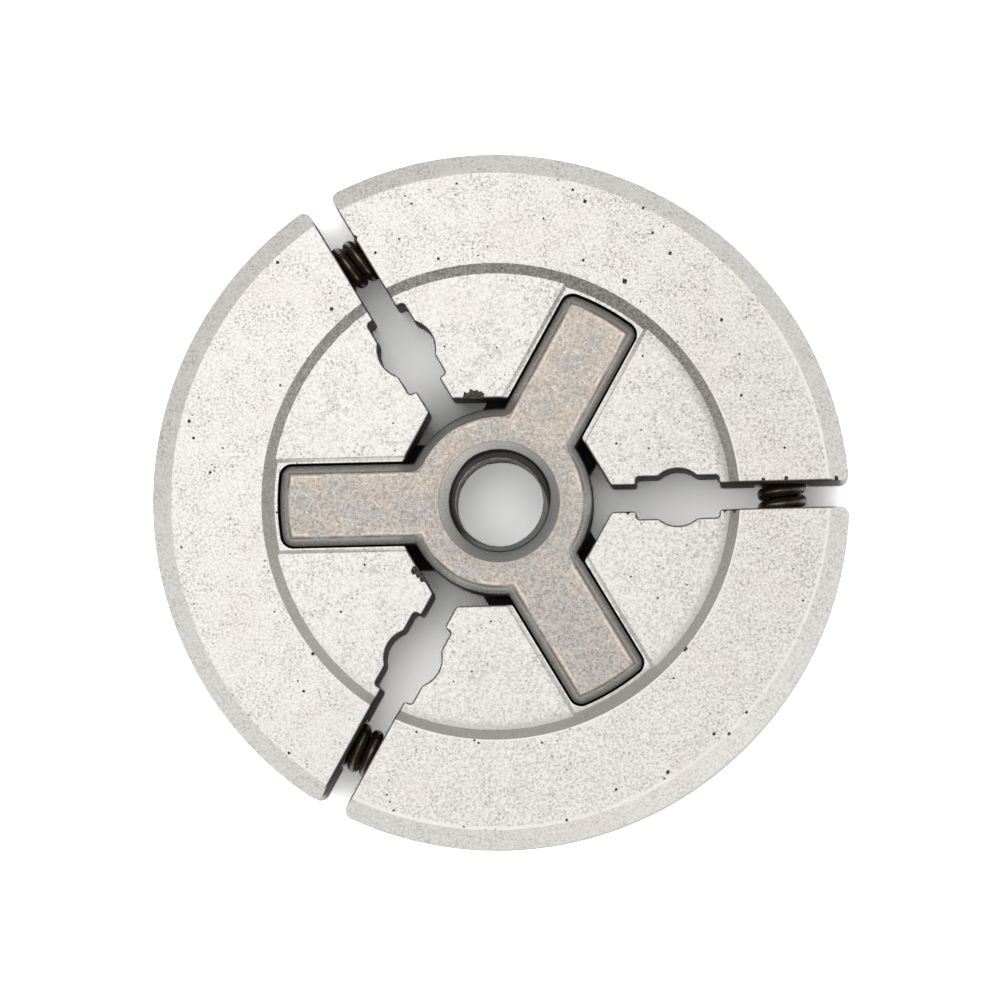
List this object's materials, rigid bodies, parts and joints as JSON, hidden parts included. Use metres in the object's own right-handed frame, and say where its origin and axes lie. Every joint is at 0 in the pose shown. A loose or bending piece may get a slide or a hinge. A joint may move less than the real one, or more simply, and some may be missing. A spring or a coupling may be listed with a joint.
{
  "type": "chainsaw clutch",
  "caption": "Centrifugal chainsaw clutch: sintered friction shoes that slide on the arms of a threaded spider, held in by short coil springs across the gaps.",
  "frame": {"origin": "on the crankshaft axis, in the plane of the back faces of the shoes and of the hub's boss", "axes": "+Z along the crankshaft axis towards the front; +X through the middle of a gap between two shoes, so the arms point to 60, 180 and 300 degrees"},
  "size_m": [0.0697, 0.0696, 0.013],
  "materials": {
    "shoe_metal": "satin",
    "spider_metal": "satin",
    "spring_wire": "satin"
  },
  "bodies": {
    "spider": {"spider": "spider_metal", "spring_1": "spring_wire", "spring_2": "spring_wire", "spring_3": "spring_wire"},
    "shoe_1": {"shoe_1": "shoe_metal"},
    "shoe_2": {"shoe_2": "shoe_metal"},
    "shoe_3": {"shoe_3": "shoe_metal"}
  },
  "joints": [
    {"name": "shoe_1_slide", "type": "slide", "parent": "spider", "child": "shoe_1", "axis": [0.5, 0.866, 0], "range_m": [0, 0.0009], "stiffness_N_per_m": 2000, "deforming": ["spring_1", "spring_2"]},
    {"name": "shoe_2_slide", "type": "slide", "parent": "spider", "child": "shoe_2", "axis": [-1, 0, 0], "range_m": [0, 0.0009], "stiffness_N_per_m": 2000, "deforming": ["spring_2", "spring_3"]},
    {"name": "shoe_3_slide", "type": "slide", "parent": "spider", "child": "shoe_3", "axis": [0.5, -0.866, 0], "range_m": [0, 0.0009], "stiffness_N_per_m": 2000, "deforming": ["spring_3", "spring_1"]}
  ]
}
